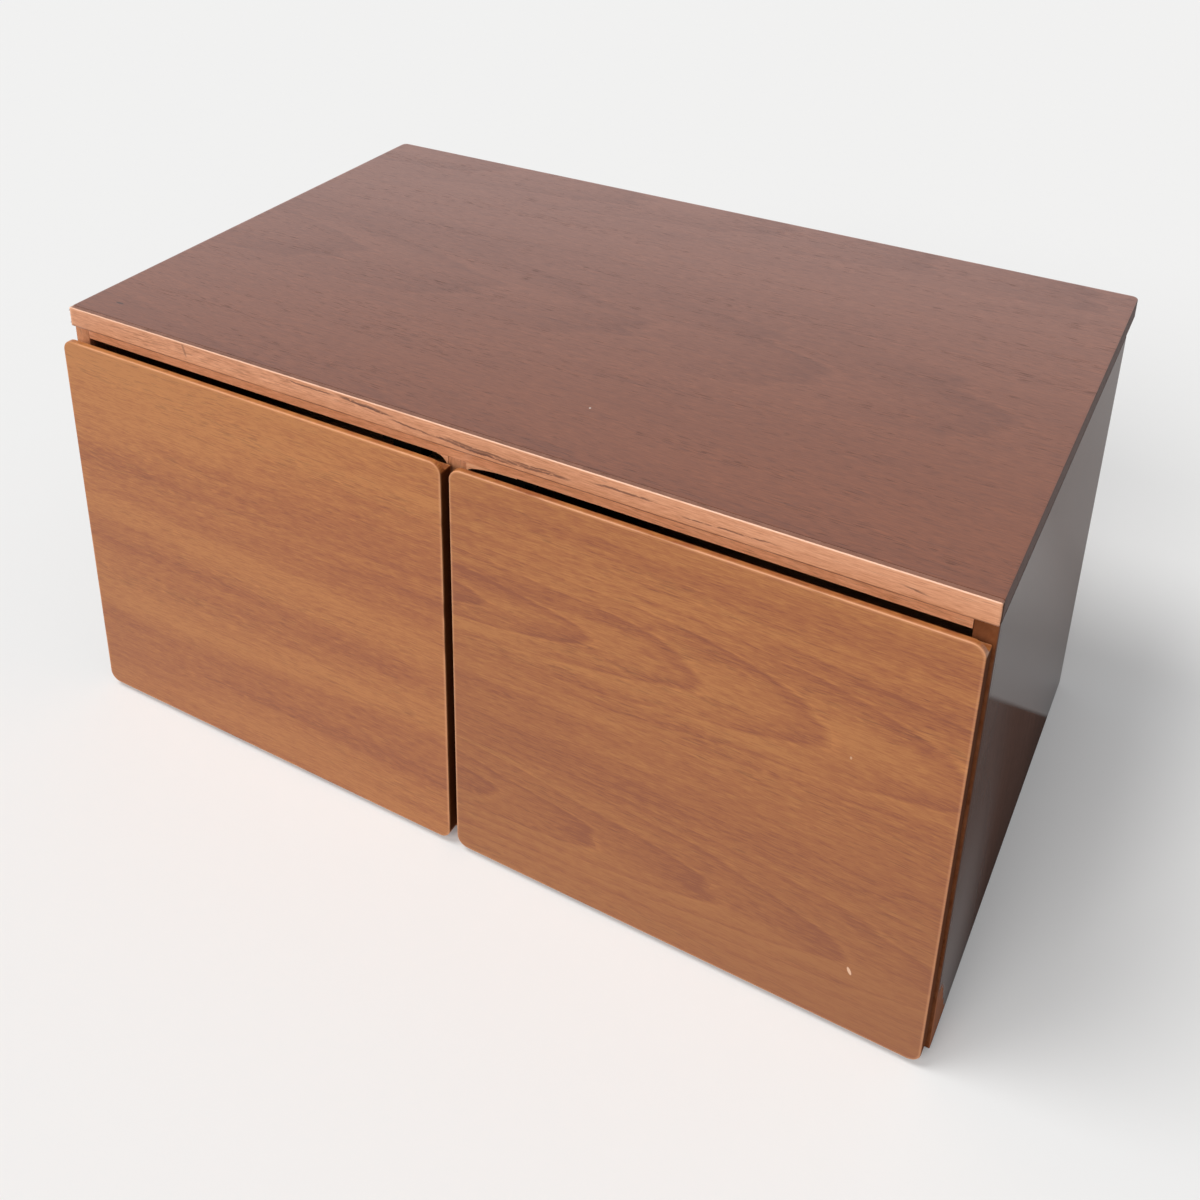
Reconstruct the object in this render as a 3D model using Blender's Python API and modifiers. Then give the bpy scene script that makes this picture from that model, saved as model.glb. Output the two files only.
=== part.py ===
"""Modular cabinet: a low two-door unit of teak-veneered board, standing on four glides.

Metres, +Z up. The doors face -Y. The origin is on the floor, under the middle of the cabinet's box.
The top overhangs the carcass at the back, and its solid front lipping stands a little proud of it.
Each door hangs on two concealed hinges: a cranked arm that turns on one pin inside a mortised cup.
"""

import math

import bmesh
import bpy
from mathutils import Matrix, Vector

# Driving dimensions
WIDTH = 0.800
HEIGHT = 0.400
TOP_DEPTH = 0.502
TOP_THICKNESS = 0.018
TOP_CORNER = 0.006
CARCASS_DEPTH = 0.450
SIDE_THICKNESS = 0.016
BOTTOM_THICKNESS = 0.016
DIVIDER_THICKNESS = 0.016
BACK_THICKNESS = 0.006
REBATE_WIDTH = 0.008
LIPPING_THICKNESS = 0.005
LIP_PROUD = 0.0042
EASE = 0.0012
LIP_ROUND = 0.0025
FIT = 0.0003

# Stretcher rails under the top
RAIL_THICKNESS = 0.010
RAIL_WIDTH = 0.070

# Doors
DOOR_THICKNESS = 0.015
DOOR_GAP = 0.0025
DOOR_REVEAL = 0.0025
MEETING_GAP = 0.0076
DOOR_FLOOR_GAP = 0.005
FINGER_GAP = 0.007
DOOR_CORNER = 0.010
DOOR_EASE = 0.0008
GRIP_LIP = 0.005
GRIP_DEPTH = 0.008
GRIP_COVE = 0.004

# Concealed hinges
HINGE_INSET = 0.075
PIN_FROM_EDGE = 0.0065
PIN_FROM_BACK = 0.0085
PIN_RADIUS = 0.0010
PIN_PLAY = 0.00008
EYE_RADIUS = 0.0022
ARM_THICKNESS = 0.002
ARM_HEIGHT = 0.014
ARM_LENGTH = 0.052
ARM_STANDOFF = 0.005
CUP_WALL = 0.0006
CUP_END_WALL = 0.0012
CUP_PLAY = 0.0004
CUP_FAR_PLAY = 0.003
WING_LENGTH = 0.006
WING_THICKNESS = 0.001
PLATE_LENGTH = 0.034
PLATE_HEIGHT = 0.020

# Screws
SCREW_RADIUS = 0.0015
SCREW_HEAD_RADIUS = 0.0030
SCREW_HEAD_HEIGHT = 0.0012
SHORT_SCREW = 0.008
PLATE_SCREW = 0.018

# Catches, strike plates and buffers
CATCH_LENGTH = 0.026
CATCH_DEPTH = 0.014
CATCH_HEIGHT = 0.013
CATCH_EAR = 0.010
CATCH_EAR_THICKNESS = 0.003
CATCH_FROM_EDGE = 0.042
STRIKE_WIDTH = 0.016
STRIKE_HEIGHT = 0.011
STRIKE_THICKNESS = 0.001
BUFFER_RADIUS = 0.004
BUFFER_FROM_EDGE = 0.030
BUFFER_HEIGHT = 0.006

# Shelves and their pins
SHELF_THICKNESS = 0.015
SHELF_SETBACK = 0.030
SHELF_BACK_GAP = 0.010
SHELF_UNDERSIDE = 0.190
SHELF_PLAY = 0.001
SHELF_PIN_RADIUS = 0.0025
SHELF_PIN_INSERT = 0.0065
SHELF_PIN_REACH = 0.008
SHELF_PIN_COLLAR = 0.0038
SHELF_PIN_COLLAR_THICKNESS = 0.0006
SHELF_PIN_FROM_END = 0.045
HOLE_PITCH = 0.032
SPARE_HOLES = (-1, 1)

# Glides
GLIDE_HEIGHT = 0.0025
GLIDE_RADIUS = 0.011
GLIDE_ROUND = 0.001
GLIDE_SPIGOT_RADIUS = 0.003
GLIDE_SPIGOT = 0.009
GLIDE_INSET = 0.040

ROUND_SIDES = 16
SMALL_SIDES = 12
CORNER_STEPS = 6

# Places worked out from them
OVERALL_DEPTH = DOOR_THICKNESS + DOOR_GAP - LIP_PROUD + TOP_DEPTH
DOOR_FRONT = -OVERALL_DEPTH / 2
DOOR_BACK = DOOR_FRONT + DOOR_THICKNESS
CARCASS_FRONT = DOOR_BACK + DOOR_GAP
CARCASS_BACK = CARCASS_FRONT + CARCASS_DEPTH
LIPPING_BACK = CARCASS_FRONT + LIPPING_THICKNESS
TOP_FRONT = CARCASS_FRONT - LIP_PROUD
TOP_BACK = TOP_FRONT + TOP_DEPTH
BACK_PANEL_FRONT = CARCASS_BACK - BACK_THICKNESS
BOARD_BACK = BACK_PANEL_FRONT - FIT
SIDE_INNER = WIDTH / 2 - SIDE_THICKNESS
CARCASS_BOTTOM = GLIDE_HEIGHT
FLOOR_OF_BAY = CARCASS_BOTTOM + BOTTOM_THICKNESS
TOP_UNDERSIDE = HEIGHT - TOP_THICKNESS
RAIL_UNDERSIDE = TOP_UNDERSIDE - RAIL_THICKNESS
DOOR_BOTTOM = DOOR_FLOOR_GAP
DOOR_TOP = TOP_UNDERSIDE - FINGER_GAP
DOOR_OUTER = WIDTH / 2 - DOOR_REVEAL
DOOR_INNER = MEETING_GAP / 2
HINGE_X = DOOR_OUTER - PIN_FROM_EDGE
HINGE_Y = DOOR_BACK - PIN_FROM_BACK
HINGE_HEIGHTS = {"lower": DOOR_BOTTOM + HINGE_INSET, "upper": DOOR_TOP - HINGE_INSET}
SIDES = {"left": -1, "right": 1}


# The scene starts empty, with one collection for the cabinet and one for its cutters
for old in list(bpy.data.objects):
    bpy.data.objects.remove(old, do_unlink=True)
cabinet = bpy.data.collections.new("modular_cabinet")
cutters = bpy.data.collections.new("cutters")
for collection in (cabinet, cutters):
    bpy.context.scene.collection.children.link(collection)


def principled(name, color, roughness, metallic=0.0):
    """A Principled material of one colour."""
    material = bpy.data.materials.new(name)
    material.use_nodes = True
    shader = material.node_tree.nodes["Principled BSDF"]
    shader.inputs["Base Color"].default_value = (*color, 1.0)
    shader.inputs["Roughness"].default_value = roughness
    shader.inputs["Metallic"].default_value = metallic
    return material


VENEER = principled("teak_veneer", (0.42, 0.18, 0.075), 0.38)
TOP_VENEER = principled("top_veneer", (0.25, 0.115, 0.075), 0.34)
LIPPING = principled("teak_lipping", (0.50, 0.22, 0.10), 0.40)
INNER_BOARD = principled("inner_veneer", (0.33, 0.15, 0.07), 0.50)
BACKING = principled("backing_board", (0.30, 0.19, 0.11), 0.70)
STEEL = principled("plated_steel", (0.55, 0.55, 0.56), 0.30, 1.0)
PLASTIC = principled("brown_plastic", (0.08, 0.045, 0.03), 0.45)


def rounded(bm, edges, radius, steps):
    """Rounds the given edges."""
    bmesh.ops.bevel(bm, geom=edges, offset=radius, segments=steps, profile=0.5, affect="EDGES")


def block(bm, one, other):
    """Adds an axis-aligned box between two opposite corners."""
    low = Vector([min(pair) for pair in zip(one, other)])
    high = Vector([max(pair) for pair in zip(one, other)])
    place = Matrix.Translation((low + high) / 2) @ Matrix.Diagonal((*(high - low), 1.0))
    bmesh.ops.create_cube(bm, size=1.0, matrix=place)


def rod(bm, start, end, radius, sides=ROUND_SIDES):
    """Adds a cylinder that runs from start to end."""
    start, end = Vector(start), Vector(end)
    turn = (end - start).to_track_quat("Z", "Y").to_matrix().to_4x4()
    place = Matrix.Translation((start + end) / 2) @ turn
    bmesh.ops.create_cone(
        bm,
        cap_ends=True,
        segments=sides,
        radius1=radius,
        radius2=radius,
        depth=(end - start).length,
        matrix=place,
    )


def add_object(name, bm, material=None, origin=(0, 0, 0), parent=None):
    """Makes a named object of a mesh given in world space, with its own origin."""
    bmesh.ops.translate(bm, verts=bm.verts, vec=-Vector(origin))
    mesh = bpy.data.meshes.new(name)
    bm.to_mesh(mesh)
    bm.free()
    obj = bpy.data.objects.new(name, mesh)
    obj.location = Vector(origin) - (parent.location if parent else Vector())
    obj.parent = parent
    if material:
        mesh.materials.append(material)
        cabinet.objects.link(obj)
    else:
        obj.hide_render = True
        obj.display_type = "WIRE"
        cutters.objects.link(obj)
    return obj


def board(name, one, other, material, ease=0.0, square=(), plan_corner=0.0, parent=None):
    """A board between two corners, with its back corners rounded in plan and its edges eased.

    Edges round the faces named in square, such as (0, -1, 0), stay sharp.
    """
    bm = bmesh.new()
    block(bm, one, other)
    if plan_corner:
        back = max(one[1], other[1])
        corners = [edge for edge in bm.edges if all(back - vert.co.y < FIT for vert in edge.verts)]
        upright = [edge for edge in corners if abs(edge.verts[0].co.z - edge.verts[1].co.z) > FIT]
        rounded(bm, upright, plan_corner, CORNER_STEPS)
    if ease:
        bm.normal_update()
        edges = [
            edge
            for edge in bm.edges
            if edge.calc_face_angle() > math.radians(50)
            and not any(face.normal.dot(Vector(side)) > 0.9 for face in edge.link_faces for side in square)
        ]
        rounded(bm, edges, ease, 2)
    return add_object(name, bm, material, (Vector(one) + Vector(other)) / 2, parent)


def combine(target, operation, name, draw):
    """Cuts from the target, or joins to it, the shapes that draw adds to a mesh."""
    bm = bmesh.new()
    draw(bm)
    modifier = target.modifiers.new(name, "BOOLEAN")
    modifier.operation = operation
    modifier.object = add_object(name, bm)
    modifier.solver = "EXACT"


def cut(target, name, draw):
    combine(target, "DIFFERENCE", name, draw)


def join(target, name, draw):
    combine(target, "UNION", name, draw)


def add_screw(name, seat, direction, length, parent=None):
    """A pan-head screw. Its head rests on the point seat, and its shank runs along direction."""
    seat, direction = Vector(seat), Vector(direction)
    bm = bmesh.new()
    rod(bm, seat - direction * SCREW_HEAD_HEIGHT, seat, SCREW_HEAD_RADIUS)
    head = add_object(name, bm, STEEL, seat, parent)
    inside_head = seat - direction * SCREW_HEAD_HEIGHT / 2
    join(head, f"{name}_shank", lambda bm: rod(bm, inside_head, seat + direction * length, SCREW_RADIUS))


def screw_hole(bm, seat, direction, length):
    """The hole that a screw runs in, from above its seat to just past its tip."""
    seat, direction = Vector(seat), Vector(direction)
    start = seat - direction * SCREW_HEAD_HEIGHT
    rod(bm, start, seat + direction * (length + FIT), SCREW_RADIUS + FIT)


# Shelf pins stand in bores in the sides and in both faces of the divider
SHELF_FRONT = CARCASS_FRONT + SHELF_SETBACK
SHELF_BACK = BACK_PANEL_FRONT - SHELF_BACK_GAP
SHELF_PIN_YS = {"front": SHELF_FRONT + SHELF_PIN_FROM_END, "back": SHELF_BACK - SHELF_PIN_FROM_END}
SHELF_PIN_Z = SHELF_UNDERSIDE - SHELF_PIN_RADIUS - FIT


def shelf_holes(bm, wall_x, into):
    """One wall's bores: the row in use and the spare rows. into is -1 or 1 along X, into the wall."""
    for row in (0, *SPARE_HOLES):
        z = SHELF_PIN_Z + row * HOLE_PITCH
        for y in SHELF_PIN_YS.values():
            start = (wall_x - into * SHELF_PIN_COLLAR, y, z)
            end = (wall_x + into * (SHELF_PIN_INSERT + FIT), y, z)
            rod(bm, start, end, SHELF_PIN_RADIUS + FIT, SMALL_SIDES)


def add_shelf_pin(name, wall_x, into, y):
    """A steel pin with a thin collar against the wall."""
    bm = bmesh.new()
    start = (wall_x - into * SHELF_PIN_REACH, y, SHELF_PIN_Z)
    rod(bm, start, (wall_x + into * SHELF_PIN_INSERT, y, SHELF_PIN_Z), SHELF_PIN_RADIUS, SMALL_SIDES)
    pin = add_object(name, bm, STEEL, (wall_x, y, SHELF_PIN_Z))
    far = wall_x - into * (FIT + SHELF_PIN_COLLAR_THICKNESS)
    ends = ((far, y, SHELF_PIN_Z), (wall_x - into * FIT, y, SHELF_PIN_Z))
    join(pin, f"{name}_collar", lambda bm: rod(bm, *ends, SHELF_PIN_COLLAR))


# Hinge places, given for one side by its sign
ARM_INNER = SIDE_INNER - ARM_STANDOFF
ARM_BACK = HINGE_Y + ARM_LENGTH
PLATE_FRONT = LIPPING_BACK
PLATE_BACK = PLATE_FRONT + PLATE_LENGTH
PLATE_SCREW_Y = (PLATE_FRONT + PLATE_BACK) / 2
CUP_OUTER_X = HINGE_X + EYE_RADIUS + CUP_PLAY + CUP_WALL
CUP_INNER_X = ARM_INNER - ARM_THICKNESS - CUP_FAR_PLAY - CUP_WALL
CUP_FRONT = HINGE_Y - EYE_RADIUS - CUP_PLAY - CUP_WALL
CUP_HALF = ARM_HEIGHT / 2 + CUP_PLAY + CUP_END_WALL
WING_BACK = DOOR_BACK + FIT + WING_THICKNESS


def plate_screw_seat(sign, height):
    """The seat of the screw that holds one arm and its plate, on the arm's inner face."""
    return (sign * (ARM_INNER - ARM_THICKNESS - FIT), PLATE_SCREW_Y, height)


# Catch and strike places, given for one side by its sign
CATCH_X = DOOR_INNER + CATCH_FROM_EDGE
CATCH_FRONT = DOOR_BACK + FIT + STRIKE_THICKNESS + SCREW_HEAD_HEIGHT + 2 * FIT
CATCH_TOP = RAIL_UNDERSIDE - FIT
STRIKE_TOP = DOOR_TOP - GRIP_DEPTH - FIT
STRIKE_BACK = DOOR_BACK + FIT + STRIKE_THICKNESS


def catch_screw_seat(sign):
    x = CATCH_X + (CATCH_LENGTH + CATCH_EAR) / 2
    return (sign * x, CATCH_FRONT + CATCH_DEPTH / 2, CATCH_TOP - CATCH_EAR_THICKNESS - FIT)


def strike_screw_seat(sign):
    return (sign * CATCH_X, STRIKE_BACK + FIT, STRIKE_TOP - STRIKE_HEIGHT / 2)


def glide_places():
    xs = {"left": -SIDE_INNER + GLIDE_INSET, "right": SIDE_INNER - GLIDE_INSET}
    ys = {"front": CARCASS_FRONT + GLIDE_INSET, "back": CARCASS_BACK - GLIDE_INSET}
    return {f"{hand}_{end}_glide": (x, y) for end, y in ys.items() for hand, x in xs.items()}


# Top: a veneered board with a solid lipping along its front edge
def make_top():
    seam = TOP_FRONT + LIPPING_THICKNESS
    board(
        "top_panel",
        (-WIDTH / 2, seam + FIT, TOP_UNDERSIDE),
        (WIDTH / 2, TOP_BACK, HEIGHT),
        TOP_VENEER,
        EASE,
        square=((0, -1, 0),),
        plan_corner=TOP_CORNER,
    )
    board(
        "top_front_lipping",
        (-WIDTH / 2, TOP_FRONT, TOP_UNDERSIDE),
        (WIDTH / 2, seam, HEIGHT),
        LIPPING,
        LIP_ROUND,
        square=((0, 1, 0), (-1, 0, 0), (1, 0, 0)),
    )


# Sides: bored for the shelf pins and hinge screws, rebated for the back
def make_side(name, sign):
    top_of_side = TOP_UNDERSIDE - FIT
    inner, outer = sign * SIDE_INNER, sign * WIDTH / 2
    side = board(
        f"{name}_side_panel",
        (inner, LIPPING_BACK + FIT, CARCASS_BOTTOM),
        (outer, CARCASS_BACK, top_of_side),
        VENEER,
    )

    def rebate(bm):
        block(
            bm,
            (sign * (SIDE_INNER - REBATE_WIDTH), BACK_PANEL_FRONT - FIT, CARCASS_BOTTOM - REBATE_WIDTH),
            (sign * (SIDE_INNER + REBATE_WIDTH), CARCASS_BACK + REBATE_WIDTH, HEIGHT),
        )

    def bores(bm):
        shelf_holes(bm, inner, sign)
        for height in HINGE_HEIGHTS.values():
            screw_hole(bm, plate_screw_seat(sign, height), (sign, 0, 0), PLATE_SCREW)

    cut(side, f"{name}_back_rebate", rebate)
    cut(side, f"{name}_side_bores", bores)
    board(
        f"{name}_side_lipping",
        (inner, CARCASS_FRONT, CARCASS_BOTTOM),
        (outer, LIPPING_BACK, top_of_side),
        LIPPING,
        EASE / 2,
        square=((0, 1, 0),),
    )


# Bottom: between the sides, with its own lipping, bored for the glides
def make_bottom():
    reach = SIDE_INNER - FIT
    bottom = board(
        "bottom_panel",
        (-reach, LIPPING_BACK + FIT, CARCASS_BOTTOM),
        (reach, BOARD_BACK, FLOOR_OF_BAY),
        INNER_BOARD,
    )

    def bores(bm):
        for x, y in glide_places().values():
            end = (x, y, CARCASS_BOTTOM + GLIDE_SPIGOT + FIT)
            rod(bm, (x, y, 0), end, GLIDE_SPIGOT_RADIUS + FIT)

    cut(bottom, "glide_bores", bores)
    board(
        "bottom_front_lipping",
        (-reach, CARCASS_FRONT, CARCASS_BOTTOM),
        (reach, LIPPING_BACK, FLOOR_OF_BAY),
        LIPPING,
        EASE / 2,
        square=((0, 1, 0), (-1, 0, 0), (1, 0, 0)),
    )


# Divider: between the bottom and the rails
def make_divider():
    half = DIVIDER_THICKNESS / 2
    low, high = FLOOR_OF_BAY + FIT, RAIL_UNDERSIDE - FIT
    divider = board("centre_divider", (-half, LIPPING_BACK + FIT, low), (half, BOARD_BACK, high), VENEER)

    def bores(bm):
        shelf_holes(bm, half, -1)
        shelf_holes(bm, -half, 1)

    cut(divider, "divider_bores", bores)
    board(
        "divider_lipping",
        (-half, CARCASS_FRONT, low),
        (half, LIPPING_BACK, high),
        LIPPING,
        EASE / 2,
        square=((0, 1, 0),),
    )


# Rails: two flat stretchers. The front one carries the catches
def make_rails():
    reach = SIDE_INNER - FIT
    high = TOP_UNDERSIDE - FIT
    front = board(
        "front_rail",
        (-reach, CARCASS_FRONT, RAIL_UNDERSIDE),
        (reach, CARCASS_FRONT + RAIL_WIDTH, high),
        LIPPING,
    )

    def holes(bm):
        for sign in SIDES.values():
            screw_hole(bm, catch_screw_seat(sign), (0, 0, 1), SHORT_SCREW)

    cut(front, "catch_screw_holes", holes)
    board(
        "rear_rail",
        (-reach, BOARD_BACK - RAIL_WIDTH, RAIL_UNDERSIDE),
        (reach, BOARD_BACK, high),
        LIPPING,
    )


# Back: one panel in the sides' rebates
def make_back():
    reach = SIDE_INNER + REBATE_WIDTH - FIT
    low = (-reach, BACK_PANEL_FRONT, CARCASS_BOTTOM)
    board("back_panel", low, (reach, CARCASS_BACK, TOP_UNDERSIDE - FIT), BACKING)


# Shelves: one loose shelf a bay, lying on four pins
def make_shelf(name, sign):
    inner, outer = DIVIDER_THICKNESS / 2, SIDE_INNER
    board(
        f"{name}_shelf",
        (sign * (inner + SHELF_PLAY), SHELF_FRONT, SHELF_UNDERSIDE),
        (sign * (outer - SHELF_PLAY), SHELF_BACK, SHELF_UNDERSIDE + SHELF_THICKNESS),
        INNER_BOARD,
        EASE / 2,
    )
    for end, y in SHELF_PIN_YS.items():
        add_shelf_pin(f"{name}_shelf_pin_{end}_outer", sign * outer, sign, y)
        add_shelf_pin(f"{name}_shelf_pin_{end}_inner", sign * inner, -sign, y)


# Glides: moulded feet with a spigot pressed up into the bottom
def make_glides():
    for name, (x, y) in glide_places().items():
        bm = bmesh.new()
        rod(bm, (x, y, 0), (x, y, GLIDE_HEIGHT - FIT), GLIDE_RADIUS)
        foot = [edge for edge in bm.edges if all(vert.co.z < FIT for vert in edge.verts)]
        rounded(bm, foot, GLIDE_ROUND, 3)
        glide = add_object(name, bm, PLASTIC, (x, y, 0))
        ends = ((x, y, GLIDE_HEIGHT / 2), (x, y, GLIDE_HEIGHT + GLIDE_SPIGOT))
        join(glide, f"{name}_spigot", lambda bm, ends=ends: rod(bm, *ends, GLIDE_SPIGOT_RADIUS))


# Doors: a rounded slab with a finger-pull rebate behind its top edge and a mortise for each cup
def make_door(name, sign, axis):
    inner, outer = sign * DOOR_INNER, sign * DOOR_OUTER
    bm = bmesh.new()
    block(bm, (inner, DOOR_FRONT, DOOR_BOTTOM), (outer, DOOR_BACK, DOOR_TOP))
    corners = [edge for edge in bm.edges if abs(edge.verts[0].co.y - edge.verts[1].co.y) > FIT]
    rounded(bm, corners, DOOR_CORNER, CORNER_STEPS)
    door = add_object(f"{name}_door", bm, VENEER, axis.location, axis)
    ease = door.modifiers.new("eased_edges", "BEVEL")
    ease.width = DOOR_EASE
    ease.segments = 2
    ease.limit_method = "ANGLE"
    ease.angle_limit = math.radians(50)

    def grip(bm):
        past = DOOR_CORNER
        lip_back, ledge = DOOR_FRONT + GRIP_LIP, DOOR_TOP - GRIP_DEPTH
        block(
            bm,
            (inner - sign * past, lip_back, ledge),
            (outer + sign * past, DOOR_BACK + past, DOOR_TOP + past),
        )
        cove = [
            edge
            for edge in bm.edges
            if all(abs(vert.co.y - lip_back) < FIT and abs(vert.co.z - ledge) < FIT for vert in edge.verts)
        ]
        rounded(bm, cove, GRIP_COVE, 3)

    def mortises(bm):
        for height in HINGE_HEIGHTS.values():
            block(
                bm,
                (sign * (CUP_OUTER_X + FIT), CUP_FRONT - FIT, height - CUP_HALF - FIT),
                (sign * (CUP_INNER_X - FIT), DOOR_BACK + DOOR_CORNER, height + CUP_HALF + FIT),
            )

    cut(door, f"{name}_finger_pull", grip)
    cut(door, f"{name}_cup_mortises", mortises)
    cut(
        door,
        f"{name}_strike_screw_hole",
        lambda bm: screw_hole(bm, strike_screw_seat(sign), (0, -1, 0), SHORT_SCREW),
    )


# Hinges: a cup let into the door, a pin across it, and a cranked arm on a plate inside the cabinet
def make_hinge(name, sign, height, axis):
    pin_x = sign * HINGE_X
    pivot = (pin_x, HINGE_Y, height)
    outer, inner = sign * CUP_OUTER_X, sign * CUP_INNER_X
    bm = bmesh.new()
    block(bm, (outer, CUP_FRONT, height - CUP_HALF), (inner, WING_BACK, height + CUP_HALF))
    cup = add_object(f"{name}_hinge_cup", bm, STEEL, pivot, axis)

    def wings(bm):
        block(
            bm,
            (outer, DOOR_BACK + FIT, height - CUP_HALF - WING_LENGTH),
            (inner, WING_BACK, height + CUP_HALF + WING_LENGTH),
        )

    def hollow(bm):
        block(
            bm,
            (outer - sign * CUP_WALL, CUP_FRONT + CUP_WALL, height - CUP_HALF + CUP_END_WALL),
            (inner + sign * CUP_WALL, WING_BACK + CUP_WALL, height + CUP_HALF - CUP_END_WALL),
        )

    def pin_hole(bm):
        ends = ((pin_x, HINGE_Y, height - 2 * CUP_HALF), (pin_x, HINGE_Y, height + 2 * CUP_HALF))
        rod(bm, *ends, PIN_RADIUS + PIN_PLAY)

    join(cup, f"{name}_cup_wings", wings)
    cut(cup, f"{name}_cup_hollow", hollow)
    cut(cup, f"{name}_cup_pin_hole", pin_hole)

    bm = bmesh.new()
    ends = ((pin_x, HINGE_Y, height - CUP_HALF), (pin_x, HINGE_Y, height + CUP_HALF))
    rod(bm, *ends, PIN_RADIUS)
    add_object(f"{name}_hinge_pin", bm, STEEL, pivot, axis)

    half = ARM_HEIGHT / 2
    face, back_face = sign * (ARM_INNER - ARM_THICKNESS), sign * ARM_INNER
    bm = bmesh.new()
    rod(bm, (pin_x, HINGE_Y, height - half), (pin_x, HINGE_Y, height + half), EYE_RADIUS)
    arm = add_object(f"{name}_hinge_arm", bm, STEEL, pivot)
    crank_front, crank_back = HINGE_Y - ARM_THICKNESS / 2, HINGE_Y + ARM_THICKNESS / 2
    join(
        arm,
        f"{name}_arm_crank",
        lambda bm: block(bm, (pin_x, crank_front, height - half), (face, crank_back, height + half)),
    )
    join(
        arm,
        f"{name}_arm_strap",
        lambda bm: block(bm, (face, crank_front, height - half), (back_face, ARM_BACK, height + half)),
    )
    seat = plate_screw_seat(sign, height)
    cut(arm, f"{name}_arm_pin_hole", pin_hole)
    cut(arm, f"{name}_arm_screw_hole", lambda bm: screw_hole(bm, seat, (sign, 0, 0), PLATE_SCREW))

    plate = board(
        f"{name}_hinge_plate",
        (sign * (ARM_INNER + FIT), PLATE_FRONT, height - PLATE_HEIGHT / 2),
        (sign * (SIDE_INNER - FIT), PLATE_BACK, height + PLATE_HEIGHT / 2),
        PLASTIC,
    )
    cut(plate, f"{name}_plate_hole", lambda bm: screw_hole(bm, seat, (sign, 0, 0), PLATE_SCREW))
    add_screw(f"{name}_hinge_screw", seat, (sign, 0, 0), PLATE_SCREW)


# Catch under the front rail, with its strike plate, and the buffer behind the door's foot
def make_closing_parts(name, sign, axis):
    x, back = sign * CATCH_X, CATCH_FRONT + CATCH_DEPTH
    half = sign * CATCH_LENGTH / 2
    seat = catch_screw_seat(sign)
    catch = board(
        f"{name}_catch",
        (x - half, CATCH_FRONT, CATCH_TOP - CATCH_HEIGHT),
        (x + half, back, CATCH_TOP),
        PLASTIC,
    )
    join(
        catch,
        f"{name}_catch_ear",
        lambda bm: block(
            bm,
            (x, CATCH_FRONT + FIT, CATCH_TOP - CATCH_EAR_THICKNESS),
            (x + half + sign * CATCH_EAR, back - FIT, CATCH_TOP - FIT),
        ),
    )
    cut(catch, f"{name}_catch_hole", lambda bm: screw_hole(bm, seat, (0, 0, 1), SHORT_SCREW))
    add_screw(f"{name}_catch_screw", seat, (0, 0, 1), SHORT_SCREW)

    strike_seat = strike_screw_seat(sign)
    half_strike = STRIKE_WIDTH / 2
    strike = board(
        f"{name}_strike_plate",
        (x - half_strike, DOOR_BACK + FIT, STRIKE_TOP - STRIKE_HEIGHT),
        (x + half_strike, STRIKE_BACK, STRIKE_TOP),
        STEEL,
        parent=axis,
    )
    cut(strike, f"{name}_strike_hole", lambda bm: screw_hole(bm, strike_seat, (0, -1, 0), SHORT_SCREW))
    add_screw(f"{name}_strike_screw", strike_seat, (0, -1, 0), SHORT_SCREW, axis)

    place = (sign * (DOOR_INNER + BUFFER_FROM_EDGE), DOOR_BACK + FIT, DOOR_BOTTOM + BUFFER_HEIGHT)
    bm = bmesh.new()
    rod(bm, place, (place[0], CARCASS_FRONT - FIT, place[2]), BUFFER_RADIUS)
    add_object(f"{name}_door_buffer", bm, PLASTIC, place, axis)


make_top()
make_bottom()
make_divider()
make_rails()
make_back()
make_glides()
for hand, sign in SIDES.items():
    make_side(hand, sign)
    make_shelf(hand, sign)
    axis = bpy.data.objects.new(f"{hand}_door_axis", None)
    axis.location = (sign * HINGE_X, HINGE_Y, DOOR_BOTTOM)
    cabinet.objects.link(axis)
    make_door(hand, sign, axis)
    for level, height in HINGE_HEIGHTS.items():
        make_hinge(f"{hand}_{level}", sign, height, axis)
    make_closing_parts(hand, sign, axis)
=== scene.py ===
"""Modular cabinet: a low two-door unit in teak veneer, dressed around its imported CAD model.

Metres, +Z up, doors facing -Y. Each section makes one piece or group of like pieces.
"""

import math

import bmesh
import bpy
import numpy as np
from mathutils import Matrix, Vector


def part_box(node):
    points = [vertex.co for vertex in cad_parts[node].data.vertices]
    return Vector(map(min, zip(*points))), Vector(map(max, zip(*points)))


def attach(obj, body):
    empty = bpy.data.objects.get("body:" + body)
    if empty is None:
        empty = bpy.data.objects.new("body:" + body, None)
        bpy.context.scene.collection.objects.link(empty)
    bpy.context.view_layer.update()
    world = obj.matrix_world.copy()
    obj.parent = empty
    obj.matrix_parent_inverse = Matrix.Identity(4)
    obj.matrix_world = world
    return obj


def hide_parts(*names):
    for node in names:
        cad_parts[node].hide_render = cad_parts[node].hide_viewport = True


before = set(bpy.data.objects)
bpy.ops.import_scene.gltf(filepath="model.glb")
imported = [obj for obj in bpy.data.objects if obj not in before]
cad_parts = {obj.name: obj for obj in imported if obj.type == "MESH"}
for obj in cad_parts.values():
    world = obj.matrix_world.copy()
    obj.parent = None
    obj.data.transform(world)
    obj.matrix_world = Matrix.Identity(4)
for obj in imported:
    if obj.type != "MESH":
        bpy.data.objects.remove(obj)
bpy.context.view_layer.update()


# ---- The studio -------------------------------------------------------------------------------
# The camera was fitted to the photograph's board edges. A soft lamp from the left and an even sky
# light the cabinet at a plain level, and the pale floor keeps its shadow.

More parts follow.
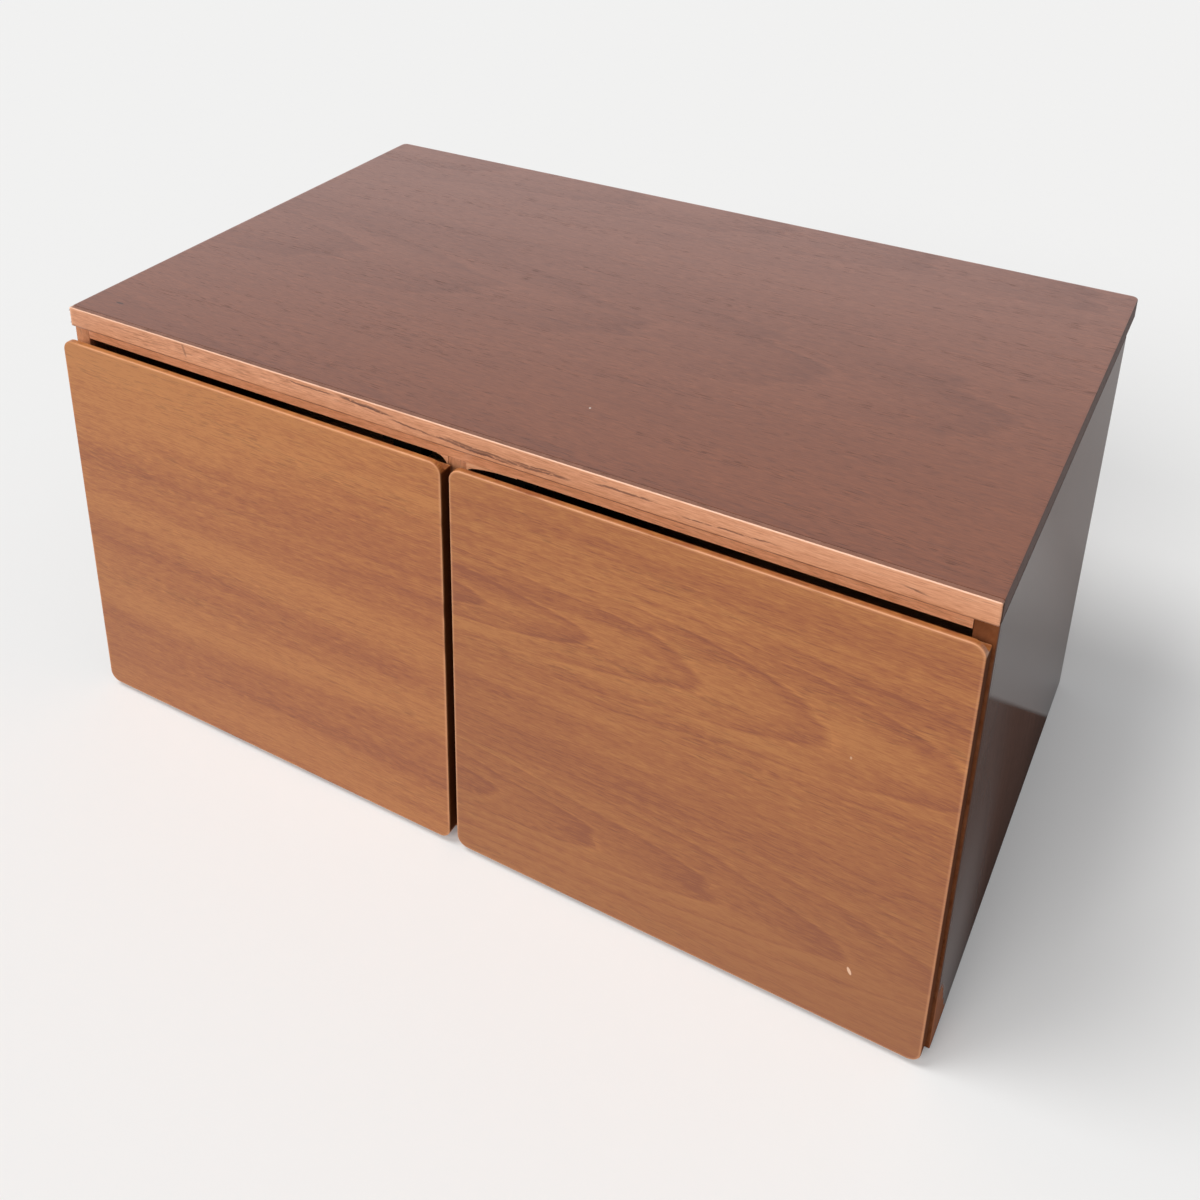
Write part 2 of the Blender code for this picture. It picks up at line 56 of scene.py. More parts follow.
camera = bpy.data.objects.new("camera", bpy.data.cameras.new("camera"))
bpy.context.scene.collection.objects.link(camera)
bpy.context.scene.camera = camera
camera.data.sensor_width = 36.0
camera.data.lens = 41.947
camera.data.shift_x = 0.04451
camera.data.shift_y = -0.29531
camera.data.clip_start = 0.02
camera_right = Vector((0.865456, 0.500934, 0.007110))
camera_up = Vector((-0.205433, 0.341907, 0.917004))
camera_back = Vector((0.456928, -0.795088, 0.398814))
turn = Matrix((camera_right, camera_up, camera_back)).transposed().to_4x4()
camera.matrix_world = Matrix.Translation((0.50303, -0.98350, 0.93586)) @ turn

bpy.context.scene.view_settings.view_transform = "Standard"

sky = bpy.data.worlds.new("sky")
bpy.context.scene.world = sky
sky.use_nodes = True
background = sky.node_tree.nodes["Background"]
background.inputs["Color"].default_value = (0.97, 0.985, 1.0, 1.0)
background.inputs["Strength"].default_value = 0.30
paper = sky.node_tree.nodes.new("ShaderNodeBackground")
paper.inputs["Color"].default_value = (0.850, 0.863, 0.890, 1.0)
rays = sky.node_tree.nodes.new("ShaderNodeLightPath")
seen = sky.node_tree.nodes.new("ShaderNodeMath")
seen.operation = "MAXIMUM"
either = sky.node_tree.nodes.new("ShaderNodeMixShader")
for start, end in (
    (rays.outputs["Is Camera Ray"], seen.inputs[0]),
    (rays.outputs["Is Glossy Ray"], seen.inputs[1]),
    (seen.outputs[0], either.inputs[0]),
    (background.outputs[0], either.inputs[1]),
    (paper.outputs[0], either.inputs[2]),
    (either.outputs[0], sky.node_tree.nodes["World Output"].inputs["Surface"]),
):
    sky.node_tree.links.new(start, end)

for name, energy, direction in (
    ("window_lamp", 1.73, (0.38, 0.25, -0.89)),
    ("front_lamp", 1.57, (0.15, 0.83, -0.54)),
):
    lamp = bpy.data.objects.new(name, bpy.data.lights.new(name, "SUN"))
    lamp.data.energy = energy
    lamp.data.angle = math.radians(28)
    lamp.data.color = (1.0, 0.985, 0.96)
    lamp.rotation_euler = Vector(direction).to_track_quat("-Z", "Y").to_euler()
    bpy.context.scene.collection.objects.link(lamp)

floor_half = 9.0
floor_corners = np.array([(-1, -1, 0), (1, -1, 0), (1, 1, 0), (-1, 1, 0)]) * floor_half
floor_mesh = bpy.data.meshes.new("floor")
floor_mesh.from_pydata(floor_corners.tolist(), [], [(0, 1, 2, 3)])
floor = bpy.data.objects.new("floor", floor_mesh)
bpy.context.scene.collection.objects.link(floor)


# ---- The veneered top ------------------------------------------------------------------------
# An 18 mm board, veneered on both faces and along its edges with teak laid lengthways, darkened
# by age. Its back corners are rounded, and it is screwed to the carcass from inside.

ARC_POINTS = 9
OUTLINE_POINTS = 4 * (ARC_POINTS + 2)
BESIDE_CORNER = 0.0015
SHARP_ANGLE = math.radians(35)


def rounded_outline(low, high, radii):
    """A rectangle with rounded corners, as (n, 2) points anticlockwise from its lower left corner.

    Corner k is centre_k + radius_k * (cos a, sin a), with a turning 90 degrees from 180 + 90 k.
    A point 1.5 mm along the side comes before and after each, to keep long sides evenly shaded.
    """
    low, high, radii = (np.asarray(v, float) for v in (low, high, radii))
    corners = np.array([low, (high[0], low[1]), high, (low[0], high[1])])
    inward = np.array([(1, 1), (-1, 1), (-1, -1), (1, -1)])
    angles = np.radians(np.linspace(180, 270, ARC_POINTS) + 90 * np.arange(4)[:, None])
    turn = np.stack([np.cos(angles), np.sin(angles)], axis=-1)
    travel = np.stack([-np.sin(angles), np.cos(angles)], axis=-1) * BESIDE_CORNER
    arcs = (corners + inward * radii[:, None])[:, None] + radii[:, None, None] * turn
    before, after = arcs[:, :1] - travel[:, :1], arcs[:, -1:] + travel[:, -1:]
    return np.concatenate([before, arcs, after], axis=1).reshape(-1, 2)


def eased(low, high, ease, steps=4, margin=0.002):
    """Heights and insets of a board's outlines: a quarter circle of radius ease at both faces.

    height = face + ease * (1 - cos a) and inset = ease * (1 - sin a), with one more outline a
    margin further in on each face, and one a margin along the edge. The third column is the
    share of painted arris highlight, which is 1 in the middle of the quarter circle.
    """
    a = np.linspace(0, math.pi / 2, steps + 1)
    height, inset = ease * (1 - np.cos(a)), ease * (1 - np.sin(a))
    arris_highlight = np.sin(2 * a) * 0.5 + 0.5
    face, wall = (0, ease + margin, 0), (ease + margin, 0, 0)
    curve = np.vstack([face, np.stack([height, inset, arris_highlight], axis=1), wall])
    return np.concatenate([curve + (low, 0, 0), curve[::-1] * (-1, 1, 1) + (high, 0, 0)])


def skin(name, rings, arris_highlight):
    """One solid from a stack of like outlines, an array (k, n, 3): point (i, j) joins (i, j + 1)
    and (i + 1, j), and the first and last outlines close it as flat ends. The third argument,
    a number for each outline or each point, is the share of painted arris highlight."""
    k, n = rings.shape[:2]
    i, j = np.mgrid[: k - 1, :n]
    here, after = i * n + j, i * n + (j + 1) % n
    faces = np.stack([here, after, after + n, here + n], axis=-1).reshape(-1, 4).tolist()
    faces += [list(range(n))[::-1], list(range((k - 1) * n, k * n))]
    mesh = bpy.data.meshes.new(name)
    mesh.from_pydata(rings.reshape(-1, 3).tolist(), [], faces)
    mesh.attributes.new("arris", "FLOAT", "POINT").data.foreach_set(
        "value", np.broadcast_to(np.asarray(arris_highlight, float).reshape(k, -1), (k, n)).ravel()
    )
    bm = bmesh.new()
    bm.from_mesh(mesh)
    bmesh.ops.remove_doubles(bm, verts=bm.verts, dist=2e-6)
    bmesh.ops.recalc_face_normals(bm, faces=bm.faces)
    for face in bm.faces:
        face.smooth = len(face.verts) < 5
    bm.to_mesh(mesh)
    bm.free()
    mesh.set_sharp_from_angle(angle=SHARP_ANGLE)
    piece = bpy.data.objects.new(name, mesh)
    bpy.context.scene.collection.objects.link(piece)
    return piece


def stack(name, axis, low, high, radii, table, limits=None, glued=False):
    """A board: its rounded outline lies across axis and is carried along it by a table of (height,
    inset, share of painted arris highlight). limits cuts the outline's first coordinate off at a
    level per row, and a glued board keeps the low side of the second coordinate square and without
    it."""
    first, second = (axis + 1) % 3, (axis + 2) % 3
    rings = np.zeros((len(table), OUTLINE_POINTS, 3))
    for ring, (height, inset, _) in zip(rings, table):
        flat = rounded_outline(
            (low[first] + inset, low[second] + (0 if glued else inset)),
            (high[first] - inset, high[second] - inset),
            np.maximum(np.asarray(radii) - inset, 0.0002),
        )
        ring[:, axis], ring[:, first], ring[:, second] = height, flat[:, 0], flat[:, 1]
    if limits is not None:
        rings[:, :, first] = np.minimum(rings[:, :, first], np.asarray(limits)[:, None])
    free = rings[:, :, second] > low[second] + 0.003 if glued else 1
    return skin(name, rings, table[:, 2:] * free)


class Value:
    """A number in a node tree, so that shader maths reads as plain expressions."""

    def __init__(self, finish, socket):
        self.finish, self.socket = finish, socket

    def do(self, operation, *others):
        inputs = dict(enumerate((self, *others)))
        return self.finish.node("ShaderNodeMath", {"operation": operation}, inputs)

    def __add__(self, other):
        return self.do("ADD", other)

    def __sub__(self, other):
        return self.do("SUBTRACT", other)

    def __mul__(self, other):
        return self.do("MULTIPLY", other)

    def __truediv__(self, other):
        return self.do("DIVIDE", other)

    def __rsub__(self, other):
        return self * -1.0 + other

    __radd__ = __add__
    __rmul__ = __mul__

    def step(self, start, end):
        """0 below start, 1 above end, and smooth between; start may be the larger."""
        settings = {"interpolation_type": "SMOOTHSTEP"}
        return self.finish.node("ShaderNodeMapRange", settings, {0: self, 1: start, 2: end})


class Finish:
    """One material: its node tree and its shader, with the nodes that feed it."""

    def __init__(self, name, **constants):
        self.material = bpy.data.materials.new(name)
        self.material.use_nodes = True
        self.tree = self.material.node_tree
        self.shader = self.tree.nodes["Principled BSDF"]
        for socket, value in constants.items():
            self.shader.inputs[socket.replace("_", " ")].default_value = value
        place = self.tree.nodes.new("ShaderNodeTexCoord").outputs["Object"]
        split = self.tree.nodes.new("ShaderNodeSeparateXYZ")
        self.tree.links.new(place, split.inputs[0])
        self.x, self.y, self.z = (Value(self, socket) for socket in split.outputs)

    def node(self, kind, settings=(), inputs=(), output=0):
        """Adds a node: its settings are set first, then its sockets' values or links."""
        made = self.tree.nodes.new(kind)
        for key, value in dict(settings).items():
            setattr(made, key, value)
        for key, value in dict(inputs).items():
            if isinstance(value, Value):
                self.tree.links.new(value.socket, made.inputs[key])
            else:
                made.inputs[key].default_value = value
        return Value(self, made.outputs[output])

    def point(self, x, y, z):
        return self.node("ShaderNodeCombineXYZ", (), {0: x, 1: y, 2: z})

    def noise(self, x, y, z, detail=2.0, rough=0.5):
        inputs = {"Vector": self.point(x, y, z), "Scale": 1.0, "Detail": detail, "Roughness": rough}
        return self.node("ShaderNodeTexNoise", (), inputs)

    def mix(self, factor, first, second, blend="MIX"):
        """Two colours mixed by a factor."""
        settings = {"data_type": "RGBA", "blend_type": blend}
        pair = [v if isinstance(v, Value) else (*v, 1.0) for v in (first, second)]
        return self.node("ShaderNodeMix", settings, {0: factor, 6: pair[0], 7: pair[1]}, 2)

    def ramp(self, factor, stops):
        """A colour ramp through evenly spaced stops, which are colours."""
        made = self.node("ShaderNodeValToRGB", (), {0: factor})
        band = made.socket.node.color_ramp
        while len(band.elements) < len(stops):
            band.elements.new(0.5)
        for index, stop in enumerate(stops):
            band.elements[index].position = index / (len(stops) - 1)
            band.elements[index].color = (*stop, 1.0)
        return made

    def oval(self, across, up, wide, tall):
        """1 on the outline of an ellipse, less inside it and more outside."""
        return (across / wide).do("POWER", 2.0) + (up / tall).do("POWER", 2.0)

    def feed(self, socket, value):
        """Links a value to a socket of the shader."""
        self.tree.links.new(value.socket, self.shader.inputs[socket])

    def finished(self, color, rough=None, bump=None, height=0.0001, strength=0.4):
        """Feeds the shader and returns the material."""
        self.feed("Base Color", color)
        if rough is not None:
            self.feed("Roughness", rough)
        if bump is not None:
            inputs = {"Strength": strength, "Distance": height, "Height": bump}
            self.feed("Normal", self.node("ShaderNodeBump", (), inputs))
        return self.material


def teak(name, grain, tones, seed=0.0, leaf=0.19, centre=0.08, start=-0.6, taper=0.12,
         spacing=0.009, figure=0.25, bands=0.45, pores=0.5, rough=0.36, marks=None, shade_ramp=None,
         ends=None, height=0.00012, **constants):
    """Teak grain. grain names the axes along, across and through the sheet.

    A growth ring is where sqrt(v * v + h * h) is the same: v is the distance across the sheet from
    the leaf's centre line, and h = taper * (along - start) is the cut's depth in the log. Slow
    noise makes the rings wander, broad bands and fine fibres lie along them, each ring starts with
    a thin broken pale line, and pores are short dashes where a stretched noise is high. The shade
    ramp darkens the sheet by a share from one level across it to another, as painted shade, and
    ends are the two x where its dull end grain shows, darkened past its own tone as painted shade.
    Arrises get a painted highlight in broken pale patches, but for those at the far right.
    """
    finish = Finish(name, **constants)
    place = {"X": finish.x, "Y": finish.y, "Z": finish.z}
    along, across, through = (place[letter] for letter in grain)
    pale = [min(1.0, c * 1.25) for c in tones[-1]]

    wander = finish.noise(along * 2.3, across * 7.0, through * 7.0 + seed, detail=3.0) - 0.5
    line = across + wander * 0.030
    within = ((line - centre) / leaf).do("ROUND") * -leaf + (line - centre)
    depth = (along - start) * taper
    ring = (within * within + depth * depth).do("SQRT")
    drift = finish.noise(along * 1.1, across * 24.0, through * 24.0 + seed + 3.0) - 0.5
    phase = (ring / spacing + drift * 1.6).do("FRACT")
    late = phase * phase * phase * phase.step(1.0, 0.90)
    near = within.do("ABSOLUTE").step(0.085, 0.015) * 0.75 + 0.25

    broad = finish.noise(
        along * 1.3, line * 22.0, through * 9.0 + seed + 7.0, detail=4.0, rough=0.6
    )
    fine = finish.noise(
        along * 85.0, line * 900.0, through * 90.0 + seed, detail=3.0, rough=0.7
    )
    fibre = finish.noise(
        along * 22.0, line * 260.0, through * 60.0 + seed + 1.0, detail=4.0, rough=0.6
    )
    tone = (broad - 0.5) * (bands * 5.2) - (late * near - 0.15) * figure * 2.2
    tone = tone + (fibre - 0.5) * 0.75 + (fine - 0.5) * 2.3
    color = finish.ramp(tone + 0.52, tones)

    pore_noise = finish.noise(along * 62.0, line * 1000.0, through * 300.0 + seed, detail=1.0)
    clump = finish.noise(along * 4.0, line * 60.0, through * 60.0 + seed + 5.0) - 0.5
    pore = (pore_noise + clump * 0.5).step(0.65, 0.71)
    color = finish.mix(pore * pores, color, [c * 0.38 for c in tones[0]])
    fleck_noise = finish.noise(along * 75.0, line * 420.0, through * 90.0 + seed + 9.0, detail=1.0)
    fleck = (fleck_noise + clump * 0.4).step(0.66, 0.78)
    color = finish.mix(fleck * 0.32, color, pale)
    early = phase.step(0.12, 0.03) * near * fleck_noise.step(0.44, 0.60)
    color = finish.mix(early * figure * 1.3, color, pale)

    # Painted shade: darker by a share towards the low level across the sheet, on the doors the
    # bottom.
    if shade_ramp:
        low, high, share = shade_ramp
        darker = ((across - low) / (high - low)).step(1.0, 0.0) * share
        color = finish.mix(darker, color, [c * 0.5 for c in tones[1]])
    # The ends' dark end grain, darkened far past its own tone as painted shade.
    if ends:
        end = finish.x.step(ends[0] + 0.0004, ends[0]) + finish.x.step(ends[1] - 0.0004, ends[1])
        color = finish.mix(end * 0.9, color, [c * 0.26 for c in tones[0]])
        rough = end * 0.45 + rough
    if marks:
        color = marks(finish, color, along, across)
    # Painted highlight: the arrises are made paler in broken patches, but not those at the far
    # right.
    arris = finish.node("ShaderNodeAttribute", {"attribute_name": "arris"}, (), "Fac")
    patchy = finish.noise(along * 18.0, across * 18.0, through * 18.0, detail=3.0)
    worn = arris * patchy.step(0.28, 0.50) * finish.x.step(0.3973, 0.3964)
    color = finish.mix(worn * 0.75, color, [min(1.0, c * 1.45 + 0.10) for c in tones[-1]])
    roughness = (fibre - 0.5) * 0.12 + rough + pore * 0.18 - worn * 0.06
    return finish.finished(color, roughness, fine * 0.4 + fibre * 0.3 - pore * 0.8, height, 0.45)


def dress(nodes, material):
    """Gives CAD nodes, whose shapes stay, a finished material."""
    for node in nodes:
        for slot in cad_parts[node].material_slots:
            slot.material = material


def install(piece, body, material, slot, *nodes):
    """A new piece gets its material, rides on its body and stands for the CAD nodes named."""
    piece.data.materials.append(material)
    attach(piece, body)
    if nodes:
        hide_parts(*nodes)


top_low, top_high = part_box("top_panel")


def top_marks(finish, color, along, across):
    """Paler and greyer towards the back left corner, a painted sheen of reflected light, with a few
    long drying checks, one dark nick near the left front corner and one pale speck."""
    # Painted sheen: a tint from warm and dark at the front right to pale grey at the back left.
    painted_sheen = (across * 0.8 - along * 0.3).step(-0.29, 0.27)
    tint = finish.mix(painted_sheen, (0.96, 0.74, 0.50), (1.12, 1.27, 1.48))
    color = finish.mix(1.0, color, tint, "MULTIPLY")
    checks = finish.noise(along * 19.0, across * 620.0, 8.0, detail=1.0).step(0.695, 0.735)
    color = finish.mix(checks * 0.55, color, (0.085, 0.026, 0.016))
    nick = finish.oval(along + 0.3675, across + 0.2160, 0.0045, 0.0012)
    speck = finish.oval(along - 0.0721, across + 0.1656, 0.0008, 0.0010)
    color = finish.mix(nick.step(1.3, 0.6) * 0.8, color, (0.02, 0.01, 0.008))
    return finish.mix(speck.step(1.3, 0.6), color, (0.62, 0.55, 0.50))


top_finish = teak(
    "aged_top_veneer", "XYZ",
    [(0.140, 0.050, 0.031), (0.178, 0.067, 0.041), (0.212, 0.083, 0.051), (0.252, 0.102, 0.063)],
    seed=4.0, leaf=0.26, centre=-0.02, start=-1.5, taper=0.09, spacing=0.014, figure=0.18,
    bands=0.15, pores=0.55, rough=0.34, marks=top_marks, ends=(-0.4, 0.4), Specular_IOR_Level=0.62,
)
top_table = eased(top_low.z, top_high.z, 0.0010)
top_board = stack(
    "veneered_top", 2, top_low, top_high, (0.0003, 0.0003, 0.006, 0.006), top_table, glued=True
)
install(top_board, "carcass", top_finish, "top_veneer", "top_panel")


# ---- The top's front lipping -----------------------------------------------------------------
# A solid teak strip, glued along the top's front edge and rounded over by hand, so that it is
# lighter than the veneer. Dark mineral streaks run through it left of the middle.


def lip_marks(finish, color, along, across):
    """Wavy dark streaks, each a line z = z0 + slope * (x - x0) + noise between two places along
    the strip, one short upright mark, painted shade in places along the lower arris, and a thin
    painted highlight along the top arris. The top face is stained like the veneer beside it."""
    wave = finish.noise(along * 40.0, 3.0, 2.0, detail=4.0, rough=0.65) - 0.5
    ragged = finish.noise(along * 160.0, across * 500.0, 5.0, detail=2.0, rough=0.6)
    for start, end, low, high, thick in (
        (-0.165, -0.105, 0.3965, 0.3960, 0.0006),
        (-0.112, -0.058, 0.3975, 0.3945, 0.0012),
        (-0.100, -0.050, 0.3962, 0.3935, 0.0007),
        (-0.062, -0.014, 0.3915, 0.3880, 0.0007),
        (-0.024, 0.042, 0.3890, 0.3860, 0.0010),
        (-0.012, 0.050, 0.3905, 0.3875, 0.0008),
        (0.000, 0.056, 0.3872, 0.3850, 0.0007),
        (0.036, 0.104, 0.3870, 0.3885, 0.0010),
        (0.045, 0.092, 0.3892, 0.3900, 0.0006),
        (0.112, 0.170, 0.3925, 0.3930, 0.0008),
        (0.180, 0.260, 0.3880, 0.3900, 0.0005),
        (0.334, 0.360, 0.3912, 0.3880, 0.0007),
    ):
        slope = (high - low) / (end - start)
        off = across - low - (along - start) * slope - wave * 0.005
        line = off.do("ABSOLUTE").step(thick * 1.5, thick * 0.5)
        span = along.step(start, start + 0.014) * along.step(end, end - 0.014)
        streak = line * span * ragged.step(0.30, 0.48) * 0.80
        color = finish.mix(streak, color, (0.12, 0.040, 0.020))
    leaning = along + 0.2666 + (across - 0.393) * 0.3
    upright = finish.oval(leaning, across - 0.3935, 0.0014, 0.0060)
    color = finish.mix(upright.step(1.4, 0.3) * 0.50, color, (0.16, 0.06, 0.03))
    # Painted shade: the lip's lower arris darkened in places, where it faces down to the rail.
    lower_arris_shade = across.step(0.3838, 0.3828) * finish.noise(along * 9.0, 2.0, 6.0).step(0.30, 0.55)
    color = finish.mix(lower_arris_shade * 0.75, color, (0.17, 0.062, 0.032))
    above = across.step(0.3990, 0.3996)
    behind = finish.y.step(lip_low.y + 0.0006, lip_low.y + 0.0010)
    color = finish.mix(above * behind, color, (0.37, 0.325, 0.34), "MULTIPLY")
    # Painted highlight: a broken pale line along the front of the top arris.
    uneven = finish.noise(along * 30.0, 1.0, 4.0).step(0.22, 0.45)
    return finish.mix(above * (1.0 - behind) * uneven * 0.75, color, (0.84, 0.52, 0.37))


lip_tones = [
    (0.46, 0.185, 0.083), (0.55, 0.235, 0.117), (0.63, 0.285, 0.150), (0.69, 0.335, 0.190)
]
lip_low, lip_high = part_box("top_front_lipping")
lip_finish = teak(
    "solid_teak_lip", "XZY", lip_tones, seed=21.0, leaf=0.5, centre=0.30, start=-2.0, taper=0.02,
    spacing=0.006, figure=0.22, bands=0.38, pores=0.35, rough=0.38, marks=lip_marks,
    ends=(-0.4, 0.4),
)
lip_table = eased(lip_low.x, lip_high.x, 0.0015, steps=5)
top_lip = stack(
    "top_front_lip", 0, lip_low, lip_high, (0.0010, 0.0003, 0.0003, 0.0010), lip_table
)
install(top_lip, "carcass", lip_finish, "teak_lipping", "top_front_lipping")


# ---- The sides and their lippings ------------------------------------------------------------
# Two 16 mm veneered boards, grain upright, lacquered to a gloss and darkened by age, bored inside
# for the shelf pins. A solid strip closes each front edge, rubbed bare at the right one's foot.

side_tones = [
    (0.072, 0.034, 0.024), (0.086, 0.041, 0.029), (0.100, 0.048, 0.034), (0.114, 0.055, 0.039)
]
# The front strips' teak, darkened as painted shade for the right strip, recessed behind the door.
edge_tones_painted_shade = [[c * m for c, m in zip(tone, (0.34, 0.26, 0.20))] for tone in lip_tones]
SIDES_FRONT = -0.2402


def lacquer(finish, color, along, across):
    """A gloss coat on the outer face. On the right side it is duller in front of a slanting line
    from the front edge to the back foot, and rubbed through to bare teak low on the front corner."""
    outer = finish.x.do("ABSOLUTE").step(0.3990, 0.3996)
    right = finish.x.step(0.0, 0.1)
    ragged = finish.noise(along * 60.0, across * 160.0, 1.0, detail=3.0) - 0.5
    edge = 0.041 - along * 0.50 + ragged * 0.016 - (across - SIDES_FRONT)
    low = (along + ragged * 0.012).step(0.070, 0.050)
    bare = edge.step(0.0, 0.002) * low * right * outer
    slant = across + along * 1.218
    glossy = slant.step(0.153, 0.161)
    dull = across.step(-0.08, -0.23) * (along.step(0.24, 0.06) * 0.45 + 0.15) + 0.10
    coat = glossy * (0.97 - slant.step(0.18, 0.38) * 0.60) + (1.0 - glossy) * dull
    coat = (right * coat + (1.0 - right) * 0.30) * (1.0 - bare * 0.8) * outer
    finish.feed("Coat Weight", coat)
    return outer, finish.mix(bare * 0.92, color, (0.32, 0.115, 0.052))


def side_marks(finish, color, along, across):
    """Lacquered outside, and paler and matt inside, like the rest of the bays."""
    outer, color = lacquer(finish, color, along, across)
    inner = finish.x.do("ABSOLUTE").step(0.3850, 0.3845)
    return finish.mix(inner, color, (3.8, 3.5, 2.3), "MULTIPLY")


def edge_marks(finish, color, along, across):
    """Lacquered like the side on its outer face, and left as solid teak in front, in painted shade
    on the right, where it lies recessed behind the door, and as pale as the rail on the left."""
    outer, dark = lacquer(finish, (0.093, 0.045, 0.031), along, across)
    color = finish.mix(finish.x.step(0.0, -0.1), color, (2.9, 3.9, 5.2), "MULTIPLY")
    return finish.mix(outer, color, dark)


side_finish = teak(
    "glossy_side_veneer", "ZYX", side_tones, seed=40.0, leaf=0.22, centre=0.03, start=-0.8,
    taper=0.10, spacing=0.011, figure=0.12, bands=0.15, pores=0.20, rough=0.15, marks=side_marks,
    height=0.00001, Specular_IOR_Level=0.0, Coat_Roughness=0.08, Coat_IOR=1.3,
)
edge_finish = teak(
    "side_edge_teak", "ZYX", edge_tones_painted_shade, seed=60.0, leaf=0.5, centre=0.2, start=-2.0, taper=0.02,
    spacing=0.006, figure=0.2, bands=0.35, pores=0.35, marks=edge_marks, height=0.00001,
    Specular_IOR_Level=0.0, Coat_Roughness=0.08, Coat_IOR=1.3,
)
dress(["left_side_panel", "right_side_panel"], side_finish)
for side in ("left", "right"):
    low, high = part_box(side + "_side_lipping")
    table = eased(low.z, high.z, 0.0006)
    strip = stack(side + "_side_edge", 2, low, high, (0.0009, 0.0009, 0.0003, 0.0003), table)
    install(strip, "carcass", edge_finish, "teak_lipping", side + "_side_lipping")


# ---- The rest of the carcass -----------------------------------------------------------------
# The bottom, the divider and the rails are dowelled and glued between the sides. Their CAD
# shapes stay, and get teak like the rest: solid strips and rails, and veneer on the boards.

# The rails' teak is the lip's made lighter, as painted light, against the shade under the lip.
rail_tones_painted_lighter = [[c * 1.3 for c in tone] for tone in lip_tones]
rail_finish = teak(
    "rail_teak", "XZY", rail_tones_painted_lighter, seed=71.0, leaf=0.5, centre=0.2, start=-2.0, taper=0.02,
    spacing=0.007, figure=0.2, bands=0.3, pores=0.35,
)
inner_tones = [
    (0.27, 0.115, 0.052), (0.33, 0.145, 0.067), (0.38, 0.175, 0.083), (0.43, 0.205, 0.100)
]
inner_finish = teak("inner_veneer_lengthways", "XYZ", inner_tones, seed=80.0, start=-1.0, rough=0.5)
upright_finish = teak("inner_veneer_upright", "ZYX", inner_tones, seed=90.0, start=-1.0, rough=0.5)


def shaded_edge(finish, color, along, across):
    """As pale as the rail at its top end, and darker below: painted shade in the doors' gap."""
    return finish.mix(along.step(0.369, 0.362), color, (0.5, 0.47, 0.44), "MULTIPLY")


divider_edge = teak(
    "divider_edge_teak", "ZXY", lip_tones, seed=66.0, leaf=0.5, centre=0.2, start=-2.0, taper=0.02,
    spacing=0.006, figure=0.2, bands=0.35, pores=0.35, marks=shaded_edge,
)
dress(["bottom_panel", "left_shelf", "right_shelf"], inner_finish)
dress(["bottom_front_lipping", "front_rail", "rear_rail"], rail_finish)
dress(["centre_divider"], upright_finish)
dress(["divider_lipping"], divider_edge)


# ---- The shoulders at the divider ------------------------------------------------------------
# Two small solid fillets, glued in the corners between the divider's edge and the rail, where the
# finger gaps run out. The photograph shows a long one on the right and a tight one on the left.

rail_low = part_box("front_rail")[0]
edge_low, edge_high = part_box("divider_lipping")
BEND_POINTS = 17
CLEAR = 0.0002
ROUNDED = 0.0003


def rail_shoulder(name, start, reach, drop):
    """A fillet as thick as the divider's lipping. Its top is level, and its underside is a quarter
    of an ellipse and a thin edge: for t from 0 to 1 it is x = start + reach * t and
    z = top - edge - drop * (1 - sqrt(1 - (1 - t) ** 2))."""
    t = np.linspace(0, 1, BEND_POINTS)
    along = start + math.copysign(CLEAR, reach) + reach * t
    top = np.full(BEND_POINTS, rail_low.z - CLEAR)
    under = top - 2 * CLEAR - drop * (1 - np.sqrt(1 - (1 - t) ** 2))
    ring = np.concatenate([np.stack([along, under], axis=1), np.stack([along[::-1], top], axis=1)])
    depths = (edge_low.y, edge_low.y + ROUNDED, edge_high.y - ROUNDED, edge_high.y)
    return skin(name, np.stack([np.insert(ring, 1, y, axis=1) for y in depths]), (0.3, 0, 0, 0))


for side, start, reach, drop in (
    ("left", edge_low.x, -0.010, 0.012),
    ("right", edge_high.x, 0.044, 0.0070),
):
    shoulder = rail_shoulder(side + "_rail_shoulder", start, reach, drop)
    install(shoulder, "carcass", rail_finish, "teak_lipping")


# ---- The back panel --------------------------------------------------------------------------
# A 6 mm sheet of plain veneered board, let into rebates in the sides and held by small pins.

back_finish = teak(
    "backing_board", "XZY",
    [(0.20, 0.115, 0.062), (0.26, 0.155, 0.088), (0.30, 0.185, 0.108), (0.34, 0.215, 0.130)],
    seed=100.0, leaf=0.4, centre=0.1, start=-1.5, taper=0.10, spacing=0.012, rough=0.62,
)
dress(["back_panel"], back_finish)
HEAD_SIDES = 12


